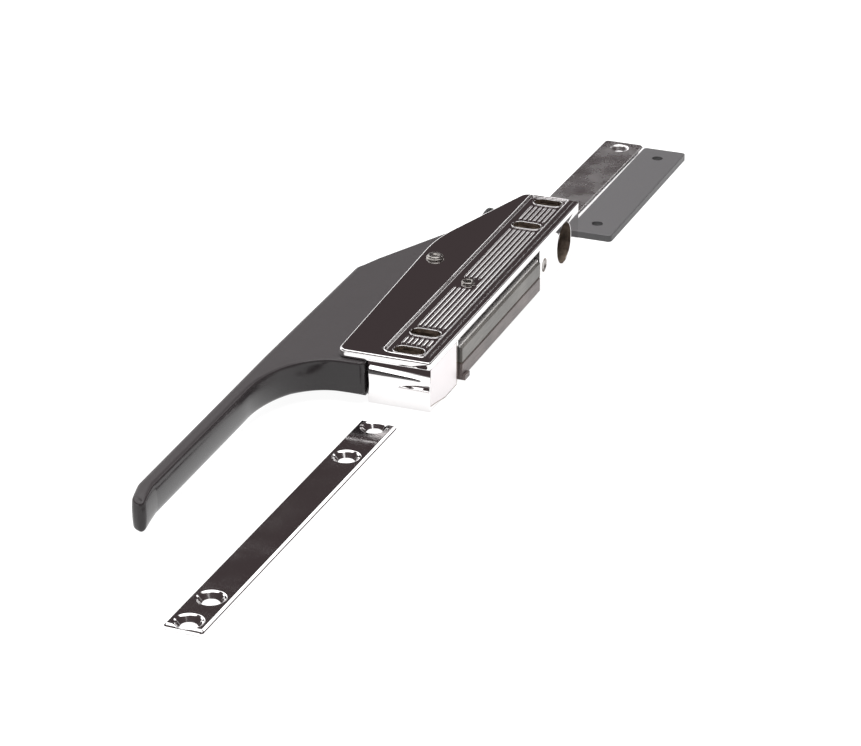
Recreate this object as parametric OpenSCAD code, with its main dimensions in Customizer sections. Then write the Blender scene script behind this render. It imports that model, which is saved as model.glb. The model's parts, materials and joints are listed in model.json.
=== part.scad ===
// Edge-mount magnetic door latch: a die-cast housing with a lever handle, a swivelling magnet
// and a push-off plunger, laid out with its clamp bar, strike plate and strike shim.
// Shapes are drawn with x = 0 on the magnet side of the housing and y = 0 at its near end.
// The origin then moves to the mounting base, on the screw line between the near two slots.

/* [Housing] */
// Length of the housing
body_l = 203.2; // [200:0.1:240]
// Height of the top plate's face above the mounting base
body_h = 25; // [24:0.5:30]
// Thickness of the top plate
plate_t = 3.6; // [3:0.1:4.4]
// Width of the top plate at its near end
plate_w = 44.2; // [43:0.1:47]
// Width of the top plate where its back edge bends
bend_w = 49.3; // [48:0.1:53]
// Distance of that bend from the far end
bend_from_far = 69.2; // [60:0.1:80]
// Radius of the bend in the back edge
bend_r = 90; // [20:1:95]
// Width of the top plate at its far end
far_w = 28.8; // [27:0.1:33]
// Radius of the rounded edge round the top plate
edge_r = 1; // [0.4:0.1:1.2]
// Thickness of the magnet-side wall
wall_t = 5; // [3.5:0.1:5.4]
// Width of the near end block
block_w = 30.4; // [27:0.1:31]
// Radius of the near end block's barrel face
barrel_r = 22; // [16:0.5:40]
// Height at which the barrel face stands furthest out
barrel_z = 10.5; // [9:0.5:13]
// Depth to which the block's side face is cut back round its pad
pad_step = 0.8; // [0.4:0.1:1.2]
// Width of the cut-back strip beside the window
jamb_strip = 4; // [2:0.1:6]

/* [Screw band] */
// Distance of the screw line from the magnet-side face
screw_x = 14.2; // [13.6:0.1:15]
// Distance of the sunk band from the magnet-side face
band_edge = 5.8; // [5:0.1:6.4]
// Width of the sunk band
band_w = 18.6; // [18.2:0.1:20]
// Depth of the sunk band
band_depth = 0.8; // [0.5:0.1:1.2]
// Width of each screw slot, along the housing
slot_w = 7.2; // [6.6:0.1:7.6]
// Length of each screw slot, across the housing
slot_l = 14; // [12:0.1:15]
// Distance of the first slot from the near end
slot_near = 11.2; // [10.5:0.1:13]
// Distance between the two near slots
near_pitch = 20.2; // [19:0.1:22]
// Distance between the two far slots
far_pitch = 31; // [30.4:0.1:33]
// Distance of the last slot from the far end
slot_far = 6.4; // [6:0.1:8]
// Wall left round each slot
slot_web = 2; // [1.5:0.1:3]
// Number of ribs across the band
rib_count = 6; // [4:1:6]
// Distance from rib to rib
rib_pitch = 2.4; // [2:0.1:2.5]
// Width of a rib at its foot
rib_w = 1.6; // [1:0.1:1.8]
// Height of a rib
rib_h = 0.7; // [0.4:0.1:0.8]
// Length of a rib's sloping end
rib_nose = 1.6; // [0.8:0.1:2.4]
// Width of the raised rim round each slot
slot_rim_w = 0.8; // [0.4:0.1:1.2]
// Height of that rim above the band
slot_rim_h = 0.3; // [0.1:0.1:0.5]

/* [Lock bore] */
// Radius of the lock bore
lock_r = 9.6; // [9:0.1:10]
// Radius of the rear counterbore
lock_rear_r = 10.2; // [10.1:0.1:10.6]
// Depth of the rear counterbore
lock_rear_l = 6; // [3:0.5:8]
// Radius of the front seat that holds the hole plug
plug_seat_r = 10.3; // [10.1:0.1:10.5]
// Depth of that front seat
plug_seat_l = 6; // [4:0.5:8]
// Height of the lock bore's axis above the base
lock_z = 11.7; // [11.6:0.1:12.2]
// Wall between the far slots and the lock bore
lock_web = 1.4; // [1:0.1:2]
// Distance of the lock boss's front end from the magnet-side face
boss_front = 39; // [38.5:0.1:42]
// Wall round the front seat
boss_wall = 0.9; // [0.7:0.1:1]
// Radius of the hole plug's head
plug_head_r = 11.7; // [11.4:0.1:12.5]
// Thickness of the hole plug's head
plug_head_t = 2.4; // [1.5:0.1:4]

/* [Pivot] */
// Distance of the handle pivot from the magnet-side face
pivot_x = 40.5; // [40:0.1:41]
// Diameter of the pivot pin
pin_d = 6; // [5:0.1:6.4]
// Diameter of the pivot pin's head
pin_head_d = 8.5; // [8:0.1:10]
// Height of the pivot pin's head
pin_head_h = 1.7; // [1.2:0.1:3]
// Outer diameter of the pivot bushes
bush_d = 9; // [8.6:0.1:10]
// Length of each pivot bush
bush_l = 5; // [3:0.5:6.5]
// Thickness of the bush flanges
flange_t = 0.3; // [0.2:0.05:0.4]
// Radius of the handle's hub
hub_r = 8.5; // [7.5:0.1:9]
// Thickness of the washer under the hub
washer_t = 1; // [0.6:0.1:1.4]
// Running clearance on every turning or sliding pin
run = 0.06; // [0.03:0.01:0.09]
// End clearance between flat faces that slide on each other
face_gap = 0.1; // [0.05:0.01:0.2]

/* [Handle] */
// Height of the handle's underside above the base
handle_z = 5.5; // [4.6:0.1:7]
// Distance of the handle's outer side from the magnet-side face
handle_out = 75.4; // [72:0.1:80]
// Distance of the grip's end beyond the housing's near end
grip_reach = 155; // [140:0.5:170]
// Width of the grip at its root
grip_w = 8.1; // [7.4:0.1:9.5]
// Width of the grip at its end
grip_end_w = 7.2; // [7:0.1:8]
// Inward lean of the grip's outer side over its length
grip_lean = 2; // [0:0.1:4]
// Distance over which the grip sweeps into the paddle
sweep_l = 42; // [34:0.5:50]
// Distance by which the paddle stands out past the housing's near end
paddle_out = 3.4; // [2:0.1:5]
// Radius of the rounded underside of the grip
grip_round = 2.6; // [1.5:0.1:2.8]
// Swell of the grip's inner side at mid-height
grip_bulge = 1; // [0.3:0.1:1.2]
// Length of the shaped end of the grip
tip_l = 14; // [10:0.5:18]
// Distance by which the grip's end turns in towards the housing
tip_turn = 1.6; // [0:0.1:2.5]
// Fall of the grip's top at its end
tip_fall = 2.6; // [0:0.1:4]
// Radius of the handle's inner top edge
handle_edge = 1.1; // [0.5:0.1:1.3]
// Radius of the handle's outer top edge
outer_edge = 2.2; // [1:0.1:2.6]
// Depth of the rim beside the near end block below the paddle
rim_drop = 1.2; // [0.5:0.1:1.8]
// Width of that rim
rim_w = 7.4; // [4:0.1:9]
// Skin over the handle's hollow underside
skin_t = 3; // [2:0.1:5]
// Wall round the handle's hollow underside
shell_t = 3.2; // [2.4:0.1:4]
// Gap between the handle and the stop it rests on
rest_gap = 0.4; // [0.3:0.05:0.8]

/* [Push-off plunger] */
// Distance of the plunger from the first far slot
plunger_back = 14.4; // [13.8:0.1:16]
// Height of the plunger's axis above the base
plunger_z = 11.5; // [10:0.1:13]
// Radius of the plunger's pin
plunger_r = 2.94; // [2:0.01:3.1]
// Radius of the plunger's head
plunger_head_r = 5; // [4.6:0.1:5.2]
// Thickness of the plunger's head
plunger_head_t = 1.6; // [1:0.1:2.5]
// Lever arm from the handle pivot to the plunger
lever_arm = 40.3; // [38:0.1:42]
// Radius of the handle's nose behind the plunger
nose_r = 3; // [2:0.1:3.4]
// Length of the plunger's spring at rest
spring_l = 12.4; // [11:0.1:14]
// Wire diameter of the plunger's spring
spring_wire = 0.9; // [0.6:0.05:1]
// Mean diameter of the plunger's spring
spring_d = 8.2; // [7.9:0.1:8.6]
// Number of turns of the plunger's spring
spring_turns = 5; // [4:1:6]

/* [Magnet] */
// Gap between each end of the magnet and its window
magnet_gap = 1.1; // [0.9:0.1:2]
// Distance of the window's far end from the plunger
window_from_plunger = 7; // [6:0.1:9]
// Distance by which the magnet's face stands out of the housing
magnet_proud = 0.8; // [0.3:0.1:1.5]
// Height of each pole plate
pole_h = 7.2; // [6:0.1:7.4]
// Depth of each pole plate
pole_depth = 5.9; // [4:0.1:6.5]
// Thickness of the brass strip between the pole plates
seam_t = 0.6; // [0.4:0.1:1]
// Depth of the groove left between the pole plates
seam_sunk = 0.8; // [0.4:0.1:1.5]
// Depth of the magnet blocks
ferrite_depth = 4.4; // [3:0.1:5]
// Number of magnet blocks
ferrite_count = 3; // [2:1:5]
// Wall of the magnet holder's back
holder_t = 1.5; // [1:0.1:2]
// Thickness of the holder's lower flange
holder_low_t = 0.8; // [0.6:0.1:1.2]
// Thickness of the holder's upper flange
holder_top_t = 1.2; // [0.8:0.1:1.6]
// Height of the holder above the base
holder_z = 0.4; // [0.3:0.1:1]
// Distance of the swivel rivet from the magnet-side face
swivel_x = 16.2; // [15.8:0.1:16.6]
// Outer radius of the swivel rivet's tube
swivel_r = 2.5; // [2:0.1:2.7]
// Bore radius of the swivel rivet
swivel_bore_r = 1.4; // [1:0.1:1.6]
// Radius of the swivel rivet's rolled head
swivel_head_r = 3.3; // [3:0.1:3.6]
// Height of the swivel rivet's rolled head
swivel_head_h = 1.2; // [0.9:0.1:2.2]
// Thickness of the holder's swivel lug
lug_t = 3; // [2:0.1:4]

/* [Back plate] */
// Thickness of the back plate
back_t = 2; // [1.5:0.1:2.4]
// Gap between the back plate and the housing round it
back_gap = 0.4; // [0.3:0.1:0.8]
// Diameter of the back plate's screws
back_screw_d = 3; // [2.5:0.1:3.2]
// Length of the back plate's screws
back_screw_l = 7.5; // [5:0.5:10]

/* [Clamp bar] */
// Width of the clamp bar
bar_w = 18; // [17:0.1:18.1]
// Thickness of the clamp bar
bar_t = 3; // [2.4:0.1:4]
// Distance of the clamp bar's outer holes from its ends
bar_end = 5.5; // [5.2:0.1:5.6]
// Width of the chamfer round the clamp bar's top
bar_chamfer = 1.1; // [0.6:0.1:1.4]
// Radius of the clamp bar's screw holes
bar_hole_r = 3.6; // [3:0.1:3.8]
// Radius of the countersinks in the clamp bar, at their rounded rims
bar_sink_r = 6.6; // [5:0.1:6.8]
// Height of the straight wall left under each countersink
sink_land = 1; // [0.8:0.1:1.4]

/* [Strike] */
// Length of the strike plate
strike_l = 114.3; // [108:0.1:130]
// Width of the strike plate
strike_w = 21.8; // [20:0.1:22]
// Thickness of the strike plate
strike_t = 3; // [2.4:0.1:4]
// Length of the strike shim
shim_l = 121.4; // [110:0.1:130]
// Width of the strike shim
shim_w = 23; // [21:0.1:23.4]
// Thickness of the strike shim
shim_t = 3.6; // [2:0.1:5]
// Distance between the two holes of the strike and of its shim
strike_pitch = 96; // [90:0.1:98]
// Radius of the strike's and the shim's holes
strike_hole_r = 2.8; // [2.4:0.1:3]
// Radius of the countersinks in the strike plate, at their rounded rims
strike_sink_r = 5.4; // [4.6:0.1:6]

/* [Loose layout] */
// Clamp bar: x of its middle, gap from the housing's near end, angle
bar_place = [-17.65, 20.2, -0.9];
// Strike plate: x of its middle, gap from the housing's far end to its middle, angle
strike_place = [-22.6, 81.1, -1.2];
// Shim: x of its middle, gap from the housing's far end to its middle, angle
shim_place = [1.8, 72.7, -0.6];

/* [Hidden] */
$fn = 64;
tiny = 0.01;

// Heights
under_z = body_h - plate_t;
band_z = body_h - band_depth;
handle_top = under_z - face_gap - flange_t;
handle_h = handle_top - handle_z;
hub_z = back_t + washer_t + face_gap + flange_t;

// Places along the housing
slot_y = [slot_near, slot_near + near_pitch, body_l - slot_far - far_pitch, body_l - slot_far];
block_l = slot_y[1] + slot_w / 2 + slot_web;
plunger_y = slot_y[2] - plunger_back;
window_end = plunger_y - window_from_plunger;
bay_end = slot_y[2] - slot_w / 2 - 1.2;
lock_y = slot_y[2] + slot_w / 2 + lock_web + lock_r;
swivel_y = (block_l + window_end) / 2;
pivot_y = plunger_y - lever_arm;
bend_y = body_l - bend_from_far;
far_lean = (bend_w - far_w) / bend_from_far;
origin_y = (slot_y[0] + slot_y[1]) / 2;

// Points of the arc that rounds corner b between a and c
function unit(v) = v / norm(v);
function turned(v, angle) = [v.x * cos(angle) - v.y * sin(angle), v.x * sin(angle) + v.y * cos(angle)];
function corner(a, b, c, r, n) =
    let (u = unit(a - b), v = unit(c - b), half = acos(u * v) / 2)
    let (centre = b + unit(u + v) * r / sin(half))
    let (first = b + u * r / tan(half) - centre)
    let (sweep = sign(cross(v, u)) * (180 - 2 * half))
    [for (i = [0:n]) centre + turned(first, sweep * i / n)];

// Outline whose corners, given as [x, y, radius, steps], are rounded
function rounded(pts) =
    let (n = len(pts))
    [for (i = [0:n - 1])
        let (a = pts[(i + n - 1) % n], b = pts[i], c = pts[(i + 1) % n])
        each b[2] > 0
            ? corner([a.x, a.y], [b.x, b.y], [c.x, c.y], b[2], b[3])
            : [[b.x, b.y]]];

// Triangles that fill a counter-clockwise outline, cut off one ear at a time
function area2(a, b, c) = (b.x - a.x) * (c.y - a.y) - (b.y - a.y) * (c.x - a.x);
function within(a, b, c, p) = area2(a, b, p) >= 0 && area2(b, c, p) >= 0 && area2(c, a, p) >= 0;
function is_ear(pts, left, k) =
    let (n = len(left), i = (k + n - 1) % n, j = (k + 1) % n)
    let (a = pts[left[i]], b = pts[left[k]], c = pts[left[j]])
    area2(a, b, c) > 0
    && len([for (m = [0:n - 1]) if (m != i && m != j && m != k && within(a, b, c, pts[left[m]])) m]) == 0;
function ear_at(pts, left, k) = k >= len(left) ? 0 : is_ear(pts, left, k) ? k : ear_at(pts, left, k + 1);
function ears(pts, left, done = []) =
    let (n = len(left))
    n == 3
        ? concat(done, [left])
        : let (k = ear_at(pts, left, 0), rest = [for (m = [0:n - 1]) if (m != k) left[m]])
          ears(pts, rest, concat(done, [[left[(k + n - 1) % n], left[k], left[(k + 1) % n]]]));

// Slab over an outline. At each point it has a quarter round of radius low below and top above,
// its side swells out to the outline at mid-height by bulge, and its top falls by fall.
module rounded_slab(outline, z0, z1, low, top, bulge = [], fall = []) {
    n = len(outline);
    swells = len(bulge) == n;
    inward = [for (i = [0:n - 1]) turned(unit(outline[(i + 1) % n] - outline[(i + n - 1) % n]), 90)];
    quarter = [0, 30, 60, 90];
    function side_point(i, inset, z) =
        let (swell = swells ? bulge[i] * pow(2 * (z - z0) / (z1 - z0) - 1, 2) : 0)
        let (drop = swells && z > (z0 + z1) / 2 ? fall[i] * (2 * (z - z0) / (z1 - z0) - 1) : 0)
        let (p = outline[i] + inward[i] * (inset + swell))
        [p.x, p.y, z - drop];
    rows = [
        for (a = quarter) [for (i = [0:n - 1]) side_point(i, low[i] * (1 - sin(a)), z0 + low[i] * (1 - cos(a)))],
        for (k = swells ? [0.35, 0.5, 0.65] : []) [for (i = [0:n - 1]) side_point(i, 0, z0 + (z1 - z0) * k)],
        for (a = quarter) [for (i = [0:n - 1]) side_point(i, top[i] * (1 - cos(a)), z1 - top[i] + top[i] * sin(a))]
    ];
    last = len(rows) - 1;
    sides = [for (k = [0:last - 1], i = [0:n - 1])
        let (j = (i + 1) % n, a = k * n, b = (k + 1) * n)
        each [[a + i, b + i, b + j], [a + i, b + j, a + j]]];
    lower_cap = ears(rows[0], [for (i = [0:n - 1]) i]);
    upper_cap = [for (t = ears(rows[last], [for (i = [0:n - 1]) i])) [t[2], t[1], t[0]] + last * n * [1, 1, 1]];
    polyhedron(points = [for (row = rows) each row], faces = concat(lower_cap, sides, upper_cap), convexity = 6);
}

// Cylinder along +x from the point given
module rod_x(from, r, l) {
    translate(from) rotate([0, 90, 0]) cylinder(r = r, h = l);
}

// Slot across the housing, through the heights given
module slot_cut(y, w, l, z0, z1) {
    for (side = [-1, 1])
        translate([-screw_x + side * (l - w) / 2, y, z0]) cylinder(d = w, h = z1 - z0);
    translate([-screw_x - (l - w) / 2, y - w / 2, z0]) cube([l - w, w, z1 - z0]);
}

// Top plate's outline, from the near corner on the magnet side round the back
plate_outline = rounded([
    [0, 0, 1.5, 4],
    [0, body_l, 2, 4],
    [-far_w, body_l, 5, 5],
    [-bend_w, bend_y, bend_r, 8],
    [-plate_w, 0, 4, 5]
]);

// Width of the top plate at a place beyond its bend
function plate_edge(y) = bend_w - far_lean * (y - bend_y);

module top_plate() {
    low = [for (p = plate_outline) 0.3];
    top = [for (p = plate_outline) edge_r];
    rounded_slab(plate_outline, under_z, body_h, low, top);
}

// Near end block: a rounded back corner and a barrel-shaped end face
module near_block() {
    plan = rounded([
        [0, -1, 0, 0],
        [0, block_l, 0, 0],
        [-block_w, block_l, 1, 3],
        [-block_w, -1, 3.4, 6]
    ]);
    intersection() {
        linear_extrude(under_z + 1) polygon(plan);
        union() {
            rod_x([-block_w - 1, barrel_r - 0.4, barrel_z], barrel_r, block_w + 2);
            translate([-block_w - 1, barrel_r / 2, -1]) cube([block_w + 2, block_l, under_z + 3]);
        }
    }
}

// Far block: the plan follows the plate's back edge, and a boss carries the lock bore to the front
module far_block() {
    inset = 1.5;
    linear_extrude(under_z + 1) polygon(rounded([
        [0, bay_end, 0, 0],
        [0, body_l, 2, 4],
        [-far_w + inset / 2, body_l, 4, 4],
        [-plate_edge(bay_end) + inset, bay_end, 1, 3]
    ]));
    rod_x([-boss_front, lock_y, lock_z], plug_seat_r + boss_wall, boss_front - wall_t);
}

// Cut that leaves the bare pad standing on the near block's side face
module pad_relief() {
    translate([-pad_step, block_l - jamb_strip, -1]) cube([pad_step + 1, jamb_strip + 1, under_z + 1]);
    translate([1, 0, 0]) rotate([90, 0, -90]) linear_extrude(pad_step + 1)
        polygon([[2, -2], [2, 3.6], [-4.7, 2.8], [-block_l / 2, 0], [-block_l / 2, -2]]);
}

// One rib of the band with a sloping, pointed nose at each end
module rib(x, y0, y1) {
    foot = rib_w / 2;
    crest = rib_w / 7;
    z = band_z - 0.1;
    top = band_z + rib_h;
    polyhedron(
        points = [
            [x - foot, y0, z], [x + foot, y0, z], [x + foot, y1, z], [x - foot, y1, z],
            [x - crest, y0 + rib_nose, top], [x + crest, y0 + rib_nose, top],
            [x + crest, y1 - rib_nose, top], [x - crest, y1 - rib_nose, top]
        ],
        faces = [[0, 1, 2, 3], [7, 6, 5, 4], [0, 4, 5, 1], [1, 5, 6, 2], [2, 6, 7, 3], [3, 7, 4, 0]]
    );
}

// Ribs run between the slots, and those behind the swivel rivet are broken round it
module ribs() {
    end_gap = 2;
    first = -screw_x - (rib_count - 1) * rib_pitch / 2;
    eye_gap = swivel_head_r + 1.6;
    for (i = [0:rib_count - 1]) {
        x = first + i * rib_pitch;
        for (pair = [[0, 1], [2, 3]])
            rib(x, slot_y[pair[0]] + slot_w / 2 + end_gap, slot_y[pair[1]] - slot_w / 2 - end_gap);
        y0 = slot_y[1] + slot_w / 2 + end_gap;
        y1 = slot_y[2] - slot_w / 2 - end_gap;
        if (abs(x + swivel_x) < eye_gap) {
            rib(x, y0, swivel_y - eye_gap);
            rib(x, swivel_y + eye_gap, y1);
        } else {
            rib(x, y0, y1);
        }
    }
}

// Raised rim round each slot
module slot_rims() {
    for (y = slot_y)
        slot_cut(y, slot_w + 2 * slot_rim_w, slot_l + 2 * slot_rim_w, band_z - 0.1, band_z + slot_rim_h);
}

// Sunk band that the clamp bar lies in, with the fine groove beside it
band_y0 = slot_y[0] - bar_end - 0.15;
band_y1 = slot_y[3] + bar_end + 0.15;
module band_cut() {
    groove_w = 0.9;
    translate([0, 0, band_z]) linear_extrude(plate_t) polygon(rounded([
        [-band_edge, band_y0, 1, 3],
        [-band_edge, band_y1, 1, 3],
        [-band_edge - band_w, band_y1, 2, 4],
        [-band_edge - band_w, band_y0, 4, 5]
    ]));
    translate([-band_edge / 2 - groove_w, band_y0, body_h - 0.5])
        cube([groove_w, band_y1 - band_y0, 1]);
}

module back_plate_outline(gap) {
    polygon(rounded([
        [-block_w + 1 - gap, slot_y[1] - 5 - gap, 1, 3],
        [-screw_x - slot_l / 2 - 2 + gap, slot_y[1] - 5 - gap, 1, 3],
        [-screw_x - slot_l / 2 - 2 + gap, block_l + 2 * back_gap, 1, 3],
        [-swivel_x + 3.6 + gap, block_l + 2 * back_gap, 1, 3],
        [-swivel_x + 3.6 + gap, bay_end - 2 * back_gap, 1, 3],
        [-22.4 + gap, bay_end - 2 * back_gap, 1, 3],
        [-22.4 + gap, bay_end + 6.2 + gap, 1, 3],
        [-34 - gap, bay_end + 6.2 + gap, 1, 3],
        [-36 - gap, bay_end - 2 * back_gap, 1, 3],
        [-pivot_x - 6 - gap, pivot_y + 12, 8, 4],
        [-pivot_x - 6 - gap, pivot_y - 12, 8, 4],
        [-block_w + 1 - gap, block_l + 12, 8, 4]
    ]));
}

back_screws = [[-block_w + 4.6, slot_y[1] - 1.4], [-28.6, bay_end + 2.6]];

module housing() {
    color("gainsboro") difference() {
        union() {
            difference() {
                union() {
                    top_plate();
                    near_block();
                    far_block();
                    translate([-wall_t, window_end, 0]) cube([wall_t, bay_end - window_end + 1, under_z + 1]);
                }
                band_cut();
                pad_relief();
            }
            ribs();
            slot_rims();
        }
        for (y = slot_y) slot_cut(y, slot_w, slot_l, -1, body_h + 1);
        rod_x([-boss_front - 1, lock_y, lock_z], lock_r, boss_front + 2);
        rod_x([-boss_front - 1, lock_y, lock_z], plug_seat_r, plug_seat_l + 1);
        rod_x([-lock_rear_l, lock_y, lock_z], lock_rear_r, lock_rear_l + 1);
        rod_x([-wall_t - 1, plunger_y, plunger_z], plunger_r + run, wall_t + 2);
        translate([-pivot_x, pivot_y, under_z - 1]) cylinder(d = pin_d + run, h = plate_t + 2);
        translate([-swivel_x, swivel_y, under_z - 1]) cylinder(r = swivel_r + run / 2, h = plate_t + 2);
        translate([0, 0, -1]) linear_extrude(back_t + 1) back_plate_outline(back_gap);
        for (p = back_screws) translate([p.x, p.y, 0]) cylinder(d = back_screw_d + run, h = back_screw_l + 0.5);
    }
}

// Pin with a stepped, dimpled head on the top plate, riveted flush in the back plate
module pivot_pin() {
    r = pin_head_d / 2;
    h = pin_head_h;
    color("silver") translate([-pivot_x, pivot_y, 0]) rotate_extrude() polygon([
        [0, 0.2], [pin_d / 2, 0.2], [pin_d / 2, body_h], [r, body_h],
        [r, body_h + h * 0.4], [r - 0.5, body_h + h * 0.5], [r - 0.5, body_h + h * 0.85],
        [r - 0.9, body_h + h], [r * 0.45, body_h + h], [r * 0.3, body_h + h - 0.5], [0, body_h + h - 0.5]
    ]);
}

module hub_washer() {
    color("silver") translate([-pivot_x, pivot_y, back_t]) difference() {
        cylinder(r = hub_r - 0.5, h = washer_t);
        translate([0, 0, -1]) cylinder(d = pin_d + 2 * run, h = washer_t + 2);
    }
}

module back_plate() {
    color("lightgray") difference() {
        linear_extrude(back_t) back_plate_outline(0);
        translate([-pivot_x, pivot_y, -1]) cylinder(d = pin_d + run, h = back_t + 2);
        translate([-swivel_x, swivel_y, -1]) cylinder(r = swivel_r + run / 2, h = back_t + 2);
        for (p = back_screws) translate([p.x, p.y, 0]) {
            translate([0, 0, -1]) cylinder(d = back_screw_d + 0.4, h = back_t + 2);
            cylinder(d1 = back_screw_d * 1.9 + 0.1, d2 = back_screw_d + 0.1, h = back_screw_d * 0.45);
        }
    }
}

module back_plate_screws() {
    head = back_screw_d * 0.45;
    color("silver") for (p = back_screws) translate([p.x, p.y, 0]) difference() {
        union() {
            cylinder(d1 = back_screw_d * 1.9, d2 = back_screw_d, h = head);
            cylinder(d = back_screw_d, h = back_screw_l);
        }
        translate([-back_screw_d, -0.35, -1]) cube([2 * back_screw_d, 0.7, 1.7]);
    }
}

// Hollow rivet that the magnet swivels on: its rolled head is the ring among the ribs
module swivel_rivet() {
    h = swivel_head_h;
    color("silver") translate([-swivel_x, swivel_y, 0]) rotate_extrude() polygon([
        [swivel_bore_r, 0.2], [swivel_r, 0.2], [swivel_r, band_z], [swivel_head_r - 0.3, band_z],
        [swivel_head_r, band_z + h * 0.4], [swivel_head_r - 0.3, band_z + h * 0.8],
        [swivel_head_r - 0.9, band_z + h], [swivel_bore_r + 0.5, band_z + h * 0.9],
        [swivel_bore_r, band_z + h * 0.5]
    ]);
}

lug_z = (holder_z + holder_low_t + pole_h + seam_t / 2) - lug_t / 2;
module swivel_spacers() {
    color("silver") translate([-swivel_x, swivel_y, 0]) difference() {
        union() {
            translate([0, 0, back_t]) cylinder(r = swivel_r + 1.6, h = lug_z - back_t - face_gap);
            translate([0, 0, lug_z + lug_t + face_gap])
                cylinder(r = swivel_r + 1.6, h = under_z - lug_z - lug_t - face_gap);
        }
        cylinder(r = swivel_r + run, h = body_h);
    }
}

// Snap-in plug that closes the front of the lock bore when no lock is fitted
module lock_hole_plug() {
    color("dimgray") translate([-boss_front, lock_y, lock_z]) rotate([0, 90, 0]) rotate_extrude() polygon([
        [0, -plug_head_t], [plug_head_r - 1.2, -plug_head_t], [plug_head_r, -plug_head_t + 1],
        [plug_head_r, 0], [plug_seat_r - 0.05, 0], [plug_seat_r - 0.05, plug_seat_l - 0.3],
        [plug_seat_r - 1.4, plug_seat_l - 0.3], [plug_seat_r - 1.4, 0.2], [0, 0.2]
    ]);
}

// Handle's outline: grip, elliptical sweep into the paddle, rim beside the block, arm and corner
rim_x = block_w + rest_gap;
arm_x = swivel_x + swivel_r + 5.3;
tip_out = handle_out - grip_lean;
sweep_a = handle_out - grip_w - (rim_x + 10.4);
sweep_y = -paddle_out - sweep_l;
function sweep_point(a) = [-handle_out + grip_w + sweep_a * (1 - cos(a)), sweep_y + sweep_l * sin(a)];
lever_top = pivot_y + lever_arm + nose_r + 2.4;
corner_y = pivot_y - 14;
handle_outline = rounded([
    [-handle_out + grip_w, sweep_y, 0, 0],
    [-rim_x - 10.4, -paddle_out, 0, 0],
    [-rim_x, -paddle_out + 0.6, 2.2, 3],
    [-rim_x, block_l + 3.4, 3, 4],
    [-arm_x, block_l + 11, 5, 4],
    [-arm_x, pivot_y + 18, 8, 4],
    [-arm_x + 1.6, lever_top - 6, 4, 4],
    [-arm_x + 1.6, lever_top, 3, 4],
    [-pivot_x - 7, lever_top, 9, 6],
    [-handle_out, corner_y, 9, 6],
    [-handle_out, -10, 200, 4],
    [-tip_out, tip_l - grip_reach, 12, 3],
    [-tip_out + 0.36 * grip_end_w, 0.18 * tip_l - grip_reach, 4.5, 4],
    [-tip_out + grip_end_w + tip_turn, -grip_reach, 2.2, 4],
    [-tip_out + grip_end_w, tip_l - grip_reach, 12, 3]
]);
sweep_steps = 24;
sweep_points = [for (i = [0:sweep_steps]) sweep_point(90 * i / sweep_steps)];
// The first two points of the outline are the ends of the sweep, which replaces them
full_outline = concat(sweep_points, [for (i = [2:len(handle_outline) - 1]) handle_outline[i]]);

module handle_hollow() {
    translate([0, 0, handle_z - 1]) linear_extrude(handle_h - skin_t + 1) difference() {
        intersection() {
            offset(delta = -shell_t) polygon(full_outline);
            translate([-handle_out, sweep_y + 14]) square([handle_out, lever_top - sweep_y - 24]);
        }
        translate([-pivot_x, pivot_y]) circle(r = hub_r, $fn = 32);
        translate([-handle_out, pivot_y - shell_t / 2]) square([handle_out, shell_t]);
        translate([-handle_out, block_l]) square([handle_out, shell_t]);
    }
}

module handle() {
    // How far each point belongs to the grip, to its shaped end and to the handle's outer side
    grip = [for (p = full_outline) max(0, min(1, 3 * p.y / sweep_y))];
    tip = [for (p = full_outline) max(0, min(1, 1 - (p.y + grip_reach) / tip_l))];
    outer = [for (p = full_outline) max(0, min(1, (6 - handle_out - p.x) / 4))];
    all = [0:len(full_outline) - 1];
    low = [for (i = all) 0.6 + (grip_round - 0.6) * grip[i] - tip[i]];
    top = [for (i = all) handle_edge + (outer_edge - handle_edge) * outer[i]];
    bulge = [for (i = all) grip_bulge * grip[i] * (1 - 0.6 * tip[i]) * (1 - outer[i])];
    fall = [for (t = tip) tip_fall * t * t];
    nose = [-pivot_x + arm_nose_x, pivot_y + lever_arm];
    color("dimgray") difference() {
        union() {
            difference() {
                rounded_slab(full_outline, handle_z, handle_top, low, top, bulge, fall);
                handle_hollow();
            }
            translate([nose.x, nose.y, handle_z]) cylinder(r = nose_r, h = handle_h - handle_edge);
            translate([-pivot_x, pivot_y, hub_z]) cylinder(r = hub_r, h = handle_top - hub_z - 0.5);
            translate([-rim_x - rim_w, 0, handle_z - rim_drop]) cube([rim_w, block_l + 1, rim_drop + 3]);
        }
        translate([-pivot_x, pivot_y, hub_z - 1]) cylinder(d = bush_d, h = handle_h + 10);
    }
}
// Distance of the nose from the pivot across the housing, set by the plunger's head and the gap to it
head_back = wall_t + spring_l + plunger_head_t;
arm_nose_x = pivot_x - head_back - 0.75 * rest_gap - nose_r;

module bush(z0, flange_z) {
    color("peru") translate([-pivot_x, pivot_y, 0]) difference() {
        union() {
            translate([0, 0, z0]) cylinder(d = bush_d, h = bush_l);
            translate([0, 0, flange_z]) cylinder(r = hub_r - 1, h = flange_t);
        }
        cylinder(d = pin_d + 2 * run, h = body_h);
    }
}
module upper_bush() { bush(handle_top - bush_l, handle_top); }
module lower_bush() { bush(hub_z, hub_z - flange_t); }

module plunger() {
    tip = 0.6;
    recess = 0.4;
    l = wall_t + spring_l - recess;
    color("silver") translate([-wall_t - spring_l, plunger_y, plunger_z]) rotate([0, 90, 0]) rotate_extrude() polygon([
        [0, -plunger_head_t], [plunger_head_r - 0.4, -plunger_head_t], [plunger_head_r, -plunger_head_t + 0.4],
        [plunger_head_r, 0], [plunger_r, 0], [plunger_r, l - tip], [plunger_r - tip, l], [0, l]
    ]);
}

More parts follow.
